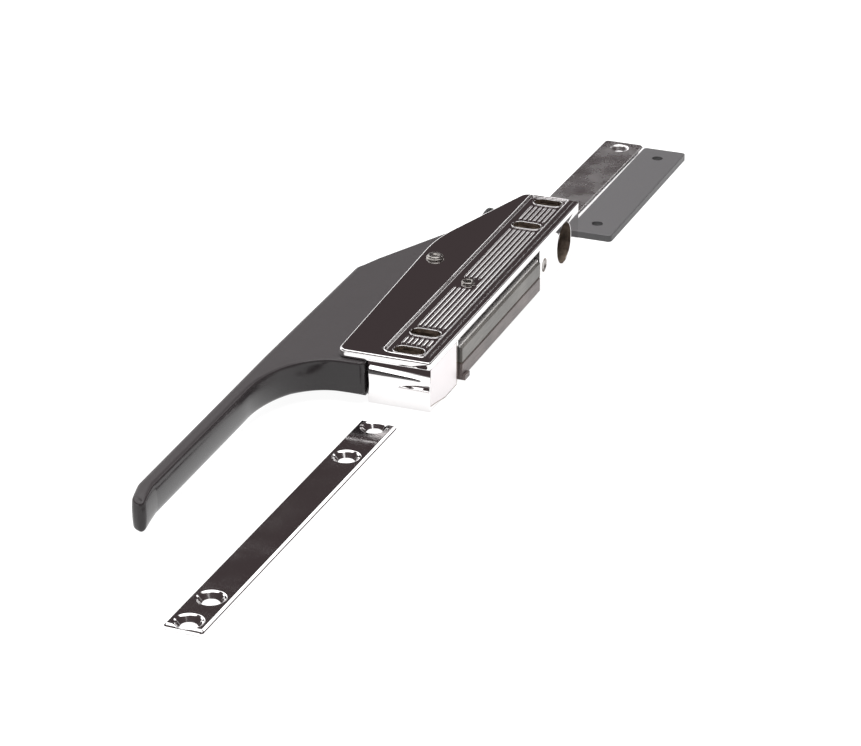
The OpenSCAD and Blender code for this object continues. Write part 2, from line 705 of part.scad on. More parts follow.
// Compression spring round the plunger, swept as a polyhedron along its helix
module plunger_spring() {
    sides = 8;
    per_turn = 16;
    wire_r = spring_wire / 2;
    rings = spring_turns * per_turn;
    span = spring_l - spring_wire - 0.1;
    points = [for (i = [0:rings], k = [0:sides - 1])
        let (a = 360 * i / per_turn, b = 360 * k / sides, r = spring_d / 2 + wire_r * cos(b))
        [wire_r + 0.05 + span * i / rings + wire_r * sin(b), r * cos(a), r * sin(a)]];
    skin = [for (i = [0:rings - 1], k = [0:sides - 1])
        let (j = (k + 1) % sides, a = i * sides, b = (i + 1) * sides)
        each [[a + k, b + k, b + j], [a + k, b + j, a + j]]];
    caps = [[for (k = [0:sides - 1]) k], [for (k = [0:sides - 1]) rings * sides + sides - 1 - k]];
    color("gray") translate([-wall_t - spring_l, plunger_y, plunger_z])
        polyhedron(points = points, faces = concat(skin, caps), convexity = 8);
}

// Magnet stack, back to front: holder, magnet blocks, pole plates with the seam strip between
magnet_l = window_end - block_l - 2 * magnet_gap;
magnet_y = block_l + magnet_gap;
stack_z = holder_z + holder_low_t;
stack_h = 2 * pole_h + seam_t;
pole_x = magnet_proud - pole_depth;
ferrite_x = pole_x - ferrite_depth;
web_x = ferrite_x - holder_t;

module magnet_holder() {
    front = magnet_proud - 1.2;
    claw_l = 6;
    color("darkgray") difference() {
        union() {
            translate([web_x, magnet_y, holder_z]) cube([holder_t, magnet_l, holder_low_t + stack_h + holder_top_t]);
            translate([web_x, magnet_y, holder_z]) cube([front - web_x, magnet_l, holder_low_t]);
            translate([web_x, magnet_y, stack_z + stack_h]) cube([front - web_x, magnet_l, holder_top_t]);
            translate([front - 1, magnet_y, holder_z]) cube([3.6, claw_l, holder_low_t]);
            translate([magnet_proud, magnet_y, holder_z]) cube([1.4, claw_l, 2.4]);
            translate([-swivel_x, swivel_y, lug_z]) cylinder(r = swivel_r + 2.1, h = lug_t);
            translate([-swivel_x, swivel_y - 5, lug_z]) cube([swivel_x + web_x + 0.5, 10, lug_t]);
        }
        translate([-swivel_x, swivel_y, lug_z - 1]) cylinder(r = swivel_r + run, h = lug_t + 2);
    }
}

module magnet_blocks() {
    each_l = magnet_l / ferrite_count;
    color("dimgray") for (i = [0:ferrite_count - 1])
        translate([ferrite_x, magnet_y + i * each_l + 0.1, stack_z]) cube([ferrite_depth, each_l - 0.2, stack_h]);
}

module pole_plate(z) {
    bevel = 0.35;
    section = [
        [pole_x, z], [magnet_proud - bevel, z], [magnet_proud, z + bevel],
        [magnet_proud, z + pole_h - bevel], [magnet_proud - bevel, z + pole_h], [pole_x, z + pole_h]
    ];
    color("gray") translate([0, magnet_y + magnet_l, 0]) rotate([90, 0, 0]) linear_extrude(magnet_l) polygon(section);
}
module lower_pole_plate() { pole_plate(stack_z); }
module upper_pole_plate() { pole_plate(stack_z + pole_h + seam_t); }

module pole_seam_strip() {
    color("darkgoldenrod") translate([pole_x, magnet_y, stack_z + pole_h])
        cube([pole_depth - seam_sunk, magnet_l, seam_t]);
}

// Countersunk hole from the top of a plate that stands on z = 0: a straight land, a cone, and a
// rim that the polishing has rounded over
module countersunk(r, sink_r, t) {
    rim = 0.35 * (sink_r - r);
    depth = 0.18 * (t - sink_land);
    rotate_extrude() polygon([
        [0, -1], [r, -1], [r, sink_land], [sink_r - rim, t - depth],
        [sink_r - 0.55 * rim, t - 0.4 * depth], [sink_r, t - tiny], [sink_r, t + 1], [0, t + 1]
    ]);
}

// Plate with a chamfer all round its top face
module chamfered_plate(l, w, t, chamfer, corner_r) {
    outline = rounded([
        [w / 2, -l / 2, corner_r, 4], [w / 2, l / 2, corner_r, 4],
        [-w / 2, l / 2, corner_r, 4], [-w / 2, -l / 2, corner_r, 4]
    ]);
    hull() {
        linear_extrude(t - chamfer * 0.8) polygon(outline);
        linear_extrude(t) offset(delta = -chamfer) polygon(outline);
    }
}

module placed(x, y, angle) {
    translate([x, y, 0]) rotate([0, 0, angle]) children();
}

// Clamp bar: its holes repeat the slots' pitches and its underside is grooved to grip the ribs
bar_l = slot_y[3] - slot_y[0] + 2 * bar_end;
bar_mid = (slot_y[0] + slot_y[3]) / 2;
module clamp_bar() {
    groove_h = rib_h * 0.6;
    first = -(rib_count - 1) * rib_pitch / 2;
    color("silver") placed(bar_place.x, -bar_place.y - bar_l / 2, bar_place.z) difference() {
        chamfered_plate(bar_l, bar_w, bar_t, bar_chamfer, 1.6);
        for (y = slot_y) translate([0, y - bar_mid, 0]) countersunk(bar_hole_r, bar_sink_r, bar_t);
        for (i = [0:rib_count - 1]) translate([first + i * rib_pitch, bar_l / 2 + 1, 0]) rotate([90, 0, 0])
            linear_extrude(bar_l + 2) polygon([[-rib_w / 2, -tiny], [rib_w / 2, -tiny], [0, groove_h]]);
    }
}

module strike_plate() {
    color("silver") placed(strike_place.x, body_l + strike_place.y, strike_place.z) difference() {
        chamfered_plate(strike_l, strike_w, strike_t, 0.8, 2.5);
        for (side = [-1, 1]) translate([0, side * strike_pitch / 2, 0])
            countersunk(strike_hole_r, strike_sink_r, strike_t);
    }
}

module strike_shim() {
    color("darkslategray") placed(shim_place.x, body_l + shim_place.y, shim_place.z) difference() {
        chamfered_plate(shim_l, shim_w, shim_t, 0.4, 2);
        for (side = [-1, 1]) translate([0, side * strike_pitch / 2, -1])
            cylinder(r = strike_hole_r, h = shim_t + 2);
    }
}

// Moves the drawing so that the origin is on the screw line between the near two slots
module from_origin() {
    translate([screw_x, -origin_y, 0]) children();
}

from_origin() housing();
from_origin() pivot_pin();
from_origin() hub_washer();
from_origin() back_plate();
from_origin() back_plate_screws();
from_origin() swivel_rivet();
from_origin() swivel_spacers();
from_origin() lock_hole_plug();
from_origin() handle();
from_origin() upper_bush();
from_origin() lower_bush();
from_origin() plunger();
from_origin() plunger_spring();
from_origin() magnet_holder();
from_origin() magnet_blocks();
from_origin() upper_pole_plate();
from_origin() lower_pole_plate();
from_origin() pole_seam_strip();
from_origin() clamp_bar();
from_origin() strike_plate();
from_origin() strike_shim();
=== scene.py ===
# Magnetic door latch with its loose clamp bar, strike plate and strike shim,
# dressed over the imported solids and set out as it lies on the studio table.
import json
import math

import bmesh
import bpy
import numpy as np
from mathutils import Matrix

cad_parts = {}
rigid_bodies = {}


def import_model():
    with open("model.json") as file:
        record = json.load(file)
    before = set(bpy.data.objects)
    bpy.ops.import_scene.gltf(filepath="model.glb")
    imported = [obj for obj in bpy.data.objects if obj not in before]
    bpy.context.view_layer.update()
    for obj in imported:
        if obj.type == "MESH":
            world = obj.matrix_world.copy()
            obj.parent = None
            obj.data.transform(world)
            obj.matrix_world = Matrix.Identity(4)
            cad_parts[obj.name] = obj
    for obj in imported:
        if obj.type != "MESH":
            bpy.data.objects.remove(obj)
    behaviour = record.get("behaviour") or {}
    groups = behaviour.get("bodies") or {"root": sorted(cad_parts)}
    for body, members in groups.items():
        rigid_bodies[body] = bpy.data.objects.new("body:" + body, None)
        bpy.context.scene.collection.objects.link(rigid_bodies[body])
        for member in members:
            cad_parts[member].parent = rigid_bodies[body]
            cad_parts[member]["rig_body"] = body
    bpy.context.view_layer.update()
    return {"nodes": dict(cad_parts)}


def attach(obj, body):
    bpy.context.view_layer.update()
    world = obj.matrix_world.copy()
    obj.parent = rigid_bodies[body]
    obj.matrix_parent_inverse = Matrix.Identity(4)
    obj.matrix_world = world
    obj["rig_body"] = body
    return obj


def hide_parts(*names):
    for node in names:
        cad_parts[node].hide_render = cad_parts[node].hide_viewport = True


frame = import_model()


# Housing.
# Zinc pressure casting, polished and plated with bright chrome, that carries every other
# piece. Its face plate is one run of soft edges: the rounded rim, the sunk band with its
# ribs, and the raised lips of the four screw slots, each of which catches a thread of light.
def linear(hex_colour):
    """Linear RGBA of an sRGB hex colour: each channel goes through the sRGB curve."""
    srgb = np.array([int(hex_colour[i:i + 2], 16) / 255 for i in (0, 2, 4)])
    rgb = np.where(srgb <= 0.04045, srgb / 12.92, ((srgb + 0.055) / 1.055) ** 2.4)
    return (*rgb.tolist(), 1.0)


def add(tree, kind, settings=None, **inputs):
    """Adds one node. settings are its own properties; inputs are socket values or sockets to link."""
    node = tree.nodes.new(kind)
    for name, value in (settings or {}).items():
        setattr(node, name, value)
    for name, value in inputs.items():
        socket = node.inputs[int(name[1:])] if name[0] == "_" else node.inputs[name.replace("_", " ")]
        if isinstance(value, bpy.types.NodeSocket):
            tree.links.new(value, socket)
        else:
            socket.default_value = value
    return node


def new_material(name):
    """An empty material: its tree, its Principled shader, and Object coordinates in metres."""
    material = bpy.data.materials.new(name)
    material.use_nodes = True
    tree = material.node_tree
    shader = tree.nodes["Principled BSDF"]
    place = add(tree, "ShaderNodeTexCoord").outputs["Object"]
    return material, tree, shader, place


def polished_chrome(name, tint, roughness, ripple_mm, ripple_um, smear):
    """Bright chrome over a polished casting: almost a mirror. A slow ripple of ripple_um over
    ripple_mm bends its reflections, and hand smears of some 25 mm raise the roughness a little."""
    material, tree, shader, place = new_material(name)
    wave = add(tree, "ShaderNodeTexNoise", Vector=place, Scale=1000 / ripple_mm, Detail=1.0)
    bump = add(tree, "ShaderNodeBump", Height=wave.outputs["Fac"], Distance=ripple_um * 1e-6, Strength=1.0)
    haze = add(tree, "ShaderNodeTexNoise", Vector=place, Scale=1000 / 25, Detail=6.0, Roughness=0.62)
    rough = add(tree, "ShaderNodeMapRange", Value=haze.outputs["Fac"], From_Min=0.4, From_Max=0.75,
                To_Min=roughness, To_Max=roughness + smear)
    shader.inputs["Base Color"].default_value = linear(tint)
    shader.inputs["Metallic"].default_value = 1.0
    tree.links.new(rough.outputs["Result"], shader.inputs["Roughness"])
    tree.links.new(bump.outputs["Normal"], shader.inputs["Normal"])
    return material


def finished(piece, material):
    piece.data.materials.clear()
    piece.data.materials.append(material)


def shown_as(mesh, name, body, *nodes):
    """Puts a mesh into the scene as a piece that rides on body and stands for the nodes."""
    piece = bpy.data.objects.new(name, mesh)
    bpy.context.scene.collection.objects.link(piece)
    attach(piece, body)
    if nodes:
        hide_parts(*nodes)
    return piece


def eased_copy(node, name, ease_mm, angle=32, steps=3, cut_at=None, cut_away=(0, 0, 1)):
    """The node's solid with its loose triangles joined into whole faces, and every edge sharper
    than angle eased by ease_mm. What lies beyond the point cut_at, in mm, on the side that
    cut_away points to, is left to a skin of its own."""
    mesh = frame["nodes"][node].data.copy()
    joined = bmesh.new()
    joined.from_mesh(mesh)
    bmesh.ops.remove_doubles(joined, verts=joined.verts, dist=2e-6)
    bmesh.ops.dissolve_degenerate(joined, edges=joined.edges, dist=2e-6)
    if cut_at:
        everything = joined.verts[:] + joined.edges[:] + joined.faces[:]
        bmesh.ops.bisect_plane(joined, geom=everything, plane_co=[mm / 1000 for mm in cut_at],
                               plane_no=cut_away, clear_outer=True)
    bmesh.ops.dissolve_limit(joined, angle_limit=math.radians(0.4), verts=joined.verts, edges=joined.edges)
    for face in joined.faces:
        face.smooth = True
    joined.to_mesh(mesh)
    joined.free()
    mesh.set_sharp_from_angle(angle=math.radians(angle))
    mesh.materials.clear()
    piece = shown_as(mesh, name, frame["nodes"][node]["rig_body"], node)
    if ease_mm:
        bevel = piece.modifiers.new("eased edges", "BEVEL")
        bevel.width, bevel.segments = ease_mm / 1000, steps
        bevel.limit_method, bevel.angle_limit = "ANGLE", math.radians(angle)
        bevel.use_clamp_overlap, bevel.harden_normals = False, True
        bevel.miter_outer = "MITER_ARC"
    return piece


def outline(corners, arc_steps=12, spacing=0.8):
    """Counter-clockwise outline of corners (x, y, radius) in mm, and its outward normals. An arc's
    centre stands radius / sin(half angle) from its corner along the bisector, inside an outer
    corner and outside an inner one, and the straight runs between arcs are cut every spacing."""
    corner, r = np.array(corners)[:, :2], np.array(corners)[:, 2:]
    to_last, to_next = np.roll(corner, 1, axis=0) - corner, np.roll(corner, -1, axis=0) - corner
    to_last /= np.linalg.norm(to_last, axis=1, keepdims=True)
    to_next /= np.linalg.norm(to_next, axis=1, keepdims=True)
    half = np.arccos(np.sum(to_last * to_next, axis=1, keepdims=True)) / 2
    turn = np.sign(to_last[:, 1:] * to_next[:, :1] - to_last[:, :1] * to_next[:, 1:])
    bisector = to_last + to_next
    centre = corner + bisector / np.linalg.norm(bisector, axis=1, keepdims=True) * r / np.sin(half)
    start = corner + to_last * r / np.tan(half) - centre
    swept = turn * (np.pi - 2 * half) * np.linspace(0, 1, arc_steps + 1)
    angle = np.arctan2(start[:, 1:], start[:, :1]) + swept
    normals = np.stack([np.cos(angle), np.sin(angle)], axis=-1)
    arcs = centre[:, None] + r[:, None] * normals
    normals = normals * turn[:, None]
    points, outward = [], []
    for arc, normal, following in zip(arcs, normals, np.roll(arcs, -1, axis=0)):
        cuts = max(2, int(np.linalg.norm(following[0] - arc[-1]) / spacing))
        share = np.linspace(0, 1, cuts + 1)[1:-1, None]
        points += [arc, arc[-1] + share * (following[0] - arc[-1])]
        outward += [normal, np.repeat(normal[-1:], len(share), axis=0)]
    return np.concatenate(points), np.concatenate(outward)


def level(flat, height):
    """Points of the plane at a height in mm, or at one height for each."""
    return np.concatenate([flat, np.broadcast_to(np.reshape(height, (-1, 1)), (len(flat), 1))], axis=1)


def patch(rows, around=True, flip=False):
    """Quads over a grid of points, row by row; around joins the last column to the first."""
    grid = np.stack([np.asarray(row, float) for row in rows])
    index = np.arange(grid.shape[0] * grid.shape[1]).reshape(grid.shape[:2])
    if around:
        index = np.hstack([index, index[:, :1]])
    quads = np.stack([index[:-1, :-1], index[:-1, 1:], index[1:, 1:], index[1:, :-1]], axis=-1).reshape(-1, 4)
    return grid.reshape(-1, 3), quads[:, ::-1] if flip else quads


def skin(name, patches, sharp=38):
    """One mesh of several patches drawn in mm from the housing's near corner on the magnet side.
    Points that coincide are joined, and edges sharper than the angle stay sharp."""
    starts = np.cumsum([0] + [len(points) for points, _ in patches[:-1]])
    points = (np.concatenate([points for points, _ in patches]) + (14.2, -21.3, 0)) / 1000
    faces = [face for (_, quads), start in zip(patches, starts) for face in (quads + start).tolist()]
    mesh = bpy.data.meshes.new(name)
    mesh.from_pydata(points.tolist(), [], faces)
    joined = bmesh.new()
    joined.from_mesh(mesh)
    bmesh.ops.remove_doubles(joined, verts=joined.verts, dist=1e-6)
    bmesh.ops.dissolve_degenerate(joined, edges=joined.edges, dist=1e-6)
    joined.to_mesh(mesh)
    joined.free()
    mesh.shade_smooth()
    mesh.set_sharp_from_angle(angle=math.radians(sharp))
    return mesh


# Heights in mm of the plate's top, of the sunk band's floor, and of the cut below which the
# solid itself is shown. The band is a rectangle x0, y0, x1, y1, and the eye is where the swivel
# rivet stands in it.
top, floor, cut = 25.0, 24.2, 22.3
quarter = np.radians(np.linspace(0, 90, 7))
plate_corners = [(0, 0, 1.5), (0, 203.2, 2), (-28.8, 203.2, 5), (-49.3, 134, 90), (-44.2, 0, 4)]
band = (-24.4, 5.55, -5.8, 202.45)
slot_x, slot_half_run, slot_radius = -14.2, 3.4, 3.6
slots_y = (11.2, 31.4, 165.8, 196.8)
eye, eye_radius = (-16.2, 90.7), 2.4


def face_plate():
    """Ring from the plate's outline to the band. Going in, it climbs the side, turns over the
    rounded rim, runs level past the groove towards the nearest point of the band's outline, swells
    into a bead whose height follows a squared sine, and drops over a small round and a fillet."""
    x0, y0, x1, y1 = band
    rim, out = outline(plate_corners)
    band_corners = [(x1, y0, 1), (x1, y1, 1), (x0, y1, 2), (x0, y0, 4)]
    edge, edge_out = outline(band_corners, spacing=0.1, arc_steps=40)
    nearest = np.argmin(np.linalg.norm(rim[:, None] - edge[None], axis=2), axis=1)
    band_edge, band_out = edge[nearest], edge_out[nearest]
    room = np.linalg.norm(rim - band_edge, axis=1, keepdims=True)
    r = np.minimum(1.0, 0.55 * room)
    lip = np.minimum(0.3, 0.3 * room)
    wide = np.minimum(0.8, 0.3 * room)
    bead_share, fillet = 0.24, 0.2
    outer, inner = rim - out * r * 1.12, band_edge + band_out * (lip + wide)
    beside = (np.abs(band_edge[:, 0] - x1) < 0.01) & (rim[:, 1] > y0) & (rim[:, 1] < y1)
    groove_shares = (0, 0.37, 0.4, 0.425, 0.44, 0.575, 0.59, 0.615, 0.645, 1)
    groove_depths = (0, 0, 0.04, 0.2, 0.5, 0.5, 0.2, 0.04, 0, 0)
    rows = [level(rim, cut - 0.1)]
    for a in quarter:
        rows.append(level(rim - out * r * (1 - np.cos(a)), top - r[:, 0] + r[:, 0] * np.sin(a)))
    for share, depth in zip(groove_shares, groove_depths):
        rows.append(level(outer + share * (inner - outer), top - depth * beside))
    for k in np.linspace(0, 0.98, 13)[1:].tolist():
        rise = bead_share * wide[:, 0] * math.sin(math.pi * k) ** 2
        rows.append(level(inner - band_out * wide * k, top + rise))
    for a in quarter:
        rows.append(level(band_edge + band_out * lip * (1 - np.sin(a)), top - lip[:, 0] * (1 - np.cos(a))))
    for a in quarter:
        rows.append(level(band_edge - band_out * fillet * (1 - np.cos(a)), floor + fillet * (1 - np.sin(a))))
    rows.append(level(band_edge - band_out * 0.26, floor + 0.002))
    return patch(rows)


def to_rectangle(points, centre, x0, y0, x1, y1):
    """Each point carried straight out from centre to the rectangle; the nearest to each of its
    corners goes to that corner."""
    away = points - centre
    side = np.where(away > 0, np.array((x1, y1)) - centre, np.array((x0, y0)) - centre)
    reach = side / np.where(away == 0, 1e-9, away)
    carried = centre + away * np.min(reach, axis=1)[:, None]
    for corner in ((x0, y0), (x1, y0), (x1, y1), (x0, y1)):
        carried[np.argmin(np.linalg.norm(carried - corner, axis=1))] = corner
    return carried


def stadium(centre, half_run, radius, offset, count=96):
    """A slot's outline pushed out by offset: a circle whose halves stand half_run to each side."""
    a = (np.arange(count) + 0.5) / count * 2 * np.pi
    ends = np.stack([np.sign(np.cos(a)) * half_run, 0 * a], axis=1)
    return np.array(centre) + ends + (radius + offset) * np.stack([np.cos(a), np.sin(a)], axis=1)


def slot_lip(y, y0, y1):
    """Screw slot: its wall, a lip 0.3 mm high and 0.8 mm wide with both edges round, and the floor
    of the band round it out to a rectangle. The profile is (offset from the slot's edge, height)."""
    profile = [(0, cut - 0.1), (0, floor + 0.02)]
    profile += [(0.28 * (1 - math.cos(a)), floor + 0.02 + 0.28 * math.sin(a)) for a in quarter]
    profile += [(0.34, floor + 0.3), (0.5, floor + 0.3)]
    profile += [(0.54 + 0.26 * math.sin(a), floor + 0.04 + 0.26 * math.cos(a)) for a in quarter]
    profile += [(0.84, floor), (0.9, floor)]
    centre = np.array((slot_x, y))
    rows = [level(stadium(centre, slot_half_run, slot_radius, offset), height) for offset, height in profile]
    rows.append(level(to_rectangle(rows[-1][:, :2], centre, band[0], y0, band[2], y1), floor))
    return patch(rows, flip=True)


def rivet_eye(y0, y1):
    """The band's floor round the hole that the swivel rivet fills."""
    rows = [level(stadium(eye, 0, eye_radius, 0), floor)]
    rows.append(level(to_rectangle(rows[0][:, :2], np.array(eye), band[0], y0, band[2], y1), floor))
    return patch(rows, flip=True)


def plain_floor(y0, y1):
    u, v = np.meshgrid([band[0], band[2]], [y0, y1])
    return patch(np.stack([u, v, 0 * u + floor], axis=-1), around=False)


def ribs(places):
    """Ribs with pointed noses, all at once. Across a rib the height follows a squared cosine;
    at each end the width grows from nothing over the nose, and the height over the nose's first
    third. Two more rings just past each nose keep the shading of the long run between even."""
    nose_length, half_width, rise, sunk = 1.6, 0.82, 0.42, 0.03
    across = np.linspace(-1, 1, 15)
    nose = np.append(np.linspace(0, 1, 9), [1.1, 2.0])
    grown = np.minimum(np.concatenate([nose, nose[::-1]]), 1)
    x, y0, y1 = (np.array(places)[:, k, None, None] for k in range(3))
    along = np.concatenate([nose_length * nose, -nose_length * nose[::-1]])[None, :, None]
    base = np.concatenate([np.repeat(y0, len(nose), axis=1), np.repeat(y1, len(nose), axis=1)], axis=1)
    width = grown[None, :, None] ** 0.8
    height = np.sin(np.minimum(3 * grown, 1) * np.pi / 2)[None, :, None]
    px = x + half_width * width * across[None, None, :]
    py = np.broadcast_to(base + along, px.shape)
    pz = floor - sunk + rise * height * np.cos(across * np.pi / 2)[None, None, :] ** 2
    return [patch(rib, around=False) for rib in np.stack(np.broadcast_arrays(px, py, pz), axis=-1)]


first_rib, rib_pitch, rib_count = -20.2, 2.4, 6
rib_runs = [(16.8, 25.8), (37.0, 160.2), (171.4, 191.2)]
clear_x, clear_y = 4.9, 5.4
rib_places = []
for x in (first_rib + rib_pitch * np.arange(rib_count)).tolist():
    for y0, y1 in rib_runs:
        broken = y0 < eye[1] < y1 and abs(x - eye[0]) < clear_x
        halves = [(x, y0, eye[1] - clear_y), (x, eye[1] + clear_y, y1)]
        rib_places += halves if broken else [(x, y0, y1)]

lip_zones = [(5.55, 16.6), (26.0, 36.8), (160.4, 171.2), (191.4, 202.45)]
plain_zones = [(16.6, 26.0), (36.8, 85), (96.4, 160.4), (171.2, 191.4)]
plate = [face_plate(), rivet_eye(85, 96.4)] + ribs(rib_places)
plate += [slot_lip(y, *zone) for y, zone in zip(slots_y, lip_zones)]
plate += [plain_floor(*zone) for zone in plain_zones]

housing_chrome = polished_chrome("chrome plate on polished zinc", "eceaea", roughness=0.035,
                                 ripple_mm=9, ripple_um=3, smear=0.015)
housing = eased_copy("housing", "housing_casting", 0.18, cut_at=(0, 0, cut))
finished(housing, housing_chrome)
housing_face = shown_as(skin("housing_face", plate), "housing_face", "frame")
finished(housing_face, housing_chrome)


# Slots, lock bore and side pad.
# The plating bath hardly reaches into the deep slots and the lock bore: their walls keep the
# brown-grey skin of the raw casting. A thin ring round the plunger is drawn in the same
# brown-grey. A band along the side pad's far and lower edges is a painted shadow line in the
# same dark. The pad's own face is plated over a blasted surface, so it shines less than the rest.
def raw_casting(name, tint, fleck, roughness, grain_mm, grain_um):
    """Die-cast zinc as it left the mould: dull, mottled over some 6 mm and finely pitted."""
    material, tree, shader, place = new_material(name)
    mottle = add(tree, "ShaderNodeTexNoise", Vector=place, Scale=1000 / 6, Detail=5.0)
    colour = add(tree, "ShaderNodeValToRGB", Fac=mottle.outputs["Fac"])
    colour.color_ramp.elements[0].position, colour.color_ramp.elements[0].color = 0.35, linear(tint)
    colour.color_ramp.elements[1].position, colour.color_ramp.elements[1].color = 0.7, linear(fleck)
    pits = add(tree, "ShaderNodeTexNoise", Vector=place, Scale=1000 / grain_mm, Detail=3.0)
    bump = add(tree, "ShaderNodeBump", Height=pits.outputs["Fac"], Distance=grain_um * 1e-6, Strength=1.0)
    tree.links.new(colour.outputs["Color"], shader.inputs["Base Color"])
    shader.inputs["Metallic"].default_value = 0.65
    shader.inputs["Roughness"].default_value = roughness
    tree.links.new(bump.outputs["Normal"], shader.inputs["Normal"])
    return material


def slot_wall(y):
    edge = stadium((slot_x, y), slot_half_run, slot_radius, -0.04)
    return patch([level(edge, height) for height in (0.2, 8.0, 16.0, cut)], flip=True)


def rings_along_x(y, z, places, steps):
    """Rings at (x, radius) places round the line along X through y and z, joined in turn."""
    a = np.arange(steps) / steps * 2 * np.pi
    rings = []
    for x, r in places:
        rings.append(np.stack([0 * a + x, y + r * np.cos(a), z + r * np.sin(a)], axis=1))
    return patch(rings)


def pad_shadow_line(width=0.45):
    """A band along the side pad's far and lower edges, on the wall: a painted shadow line, dark
    where shade falls along those edges. Its two rows run side by side, width apart, and the
    corners are mitred."""
    corners = np.array([(32.9, 21.6), (32.9, 0.3), (18.5, 0.3), (4.7, 3.1), (0.4, 3.7)])
    along = np.diff(corners, axis=0) / np.linalg.norm(np.diff(corners, axis=0), axis=1, keepdims=True)
    side = np.stack([along[:, 1], -along[:, 0]], axis=1)
    joint = np.concatenate([side[:1], side[:-1] + side[1:], side[-1:]])
    own = np.concatenate([side, side[-1:]])
    mitre = joint / np.sum(joint * own, axis=1, keepdims=True)
    rows = [corners, corners + mitre * width]
    return patch([np.insert(row, 0, 0.04, axis=1) for row in rows], around=False)


# This material also draws the painted shadow line along the side pad's edges.
raw_zinc_and_shadow_line = raw_casting("raw die-cast zinc and painted shadow line", "51473f", "a39385", roughness=0.36, grain_mm=0.8, grain_um=20)
bore_places = ((-0.3, 10.16), (-5.96, 10.16), (-5.96, 9.56), (-20.0, 9.56), (-38.9, 9.56))
cast_walls_and_shadow_line = [slot_wall(y) for y in slots_y]
cast_walls_and_shadow_line.append(rings_along_x(180.4, 11.7, bore_places, steps=96))
# The band along the side pad's far and lower edges: a painted shadow line.
cast_walls_and_shadow_line.append(pad_shadow_line())
cast_walls_and_shadow_line.append(rings_along_x(151.4, 11.5, ((0.04, 3.4), (0.04, 3.02)), steps=64))
openings = shown_as(skin("cast_openings_and_pad_shadow", cast_walls_and_shadow_line), "cast_openings_and_pad_shadow", "frame")
finished(openings, raw_zinc_and_shadow_line)
pad_corners = [(0.6, 3.9), (4.7, 3.4), (18.5, 0.6), (32.6, 0.6), (32.6, 21.4), (0.6, 21.4)]
pad_rim = np.insert(np.array(pad_corners), 0, 0.03, axis=1)
pad = shown_as(skin("side_pad_face", [(pad_rim, np.arange(6)[None])]), "side_pad_face", "frame")
pad_chrome = polished_chrome("chrome plate on a blasted pad", "e6e1e2", roughness=0.36,
                             ripple_mm=3, ripple_um=6, smear=0.1)
finished(pad, pad_chrome)


# Back plate, hub washer and swivel spacers.
# Zinc-plated sheet, stamped, that closes the underside of the lever bay; the washer keeps the
# hub off the sheet, and the spacers keep the magnet holder at its height.
def zinc_plate(name, tint, roughness, grain_mm):
    """Passivated zinc on rolled sheet: a dull silver that clouds from crystal to crystal."""
    material, tree, shader, place = new_material(name)
    grain = add(tree, "ShaderNodeTexVoronoi", Vector=place, Scale=1000 / grain_mm)
    value = add(tree, "ShaderNodeSeparateColor", _0=grain.outputs["Color"])
    rough = add(tree, "ShaderNodeMapRange", Value=value.outputs[0],
                To_Min=roughness - 0.06, To_Max=roughness + 0.06)
    shader.inputs["Base Color"].default_value = linear(tint)
    shader.inputs["Metallic"].default_value = 1.0
    tree.links.new(rough.outputs["Result"], shader.inputs["Roughness"])
    return material


zinc_sheet = zinc_plate("zinc plate on rolled sheet", "b9bbbd", roughness=0.33, grain_mm=1.2)
for node in ("back_plate", "hub_washer", "swivel_spacers"):
    finished(frame["nodes"][node], zinc_sheet)


# Pivot pin, swivel rivet, back plate screws and plunger.
# Turned steel, nickel plated and worn a little dull. The pin's low head is dished in the middle,
# and the rivet's rolled ring stands round its bore, which is shown with a floor 1.6 mm down.
def turned(centre, profile, steps=72):
    """A profile of (radius, height) points in mm carried once round the upright line at centre,
    from the axis outwards and down."""
    a = np.arange(steps) / steps * 2 * np.pi
    ring = np.stack([np.cos(a), np.sin(a)], axis=1)
    return patch([level(np.array(centre) + r * ring, z) for r, z in profile], flip=True)


def bent(points, steps=6):
    """An open profile whose inner corners (r, z, radius) are rounded. Each round is the parabola
    that leaves its two sides at that distance from the corner."""
    points = np.array(points, float)
    before, corner, after = points[:-2, :2], points[1:-1, :2], points[2:, :2]
    reach = points[1:-1, 2:]
    start = corner + (before - corner) / np.linalg.norm(before - corner, axis=1, keepdims=True) * reach
    end = corner + (after - corner) / np.linalg.norm(after - corner, axis=1, keepdims=True) * reach
    t = np.linspace(0, 1, steps + 1)[None, :, None]
    rounds = (1 - t) ** 2 * start[:, None] + 2 * t * (1 - t) * corner[:, None] + t ** 2 * end[:, None]
    return np.concatenate([points[:1, :2], rounds.reshape(-1, 2), points[-1:, :2]]).tolist()


turned_nickel = polished_chrome("nickel plate on turned steel", "a39f9b", roughness=0.24,
                                ripple_mm=3, ripple_um=3, smear=0.08)
pin_head = bent([(0, 26.1, 0), (1.5, 26.1, 0.3), (1.9, 26.62, 0.2), (3.2, 26.7, 0.3), (3.75, 26.2, 0.2),
                 (3.75, 25.75, 0.15), (4.25, 25.6, 0.2), (4.25, 25.0, 0.05), (2.99, 24.9, 0.05),
                 (2.99, 0.25, 0.05), (0, 0.2, 0)])
pin_mesh = skin("pivot_pin_turned", [turned((-40.5, 111.1), pin_head)])
pin = shown_as(pin_mesh, "pivot_pin_turned", "frame", "pivot_pin")
finished(pin, turned_nickel)
ring_head = bent([(0, 23.4, 0), (1.35, 23.5, 0.3), (1.5, 25.2, 0.2), (2.1, 25.38, 0.25), (2.9, 25.38, 0.35),
                  (3.28, 24.9, 0.25), (3.1, 24.2, 0.1), (2.5, 24.15, 0.05), (2.5, 0.2, 0.02), (1.4, 0.2, 0)])
rivet_mesh = skin("swivel_rivet_turned", [turned(eye, ring_head)])
rivet = shown_as(rivet_mesh, "swivel_rivet_turned", "frame", "swivel_rivet")
finished(rivet, turned_nickel)
finished(frame["nodes"]["back_plate_screws"], turned_nickel)
finished(eased_copy("plunger", "plunger_turned", 0.3), turned_nickel)


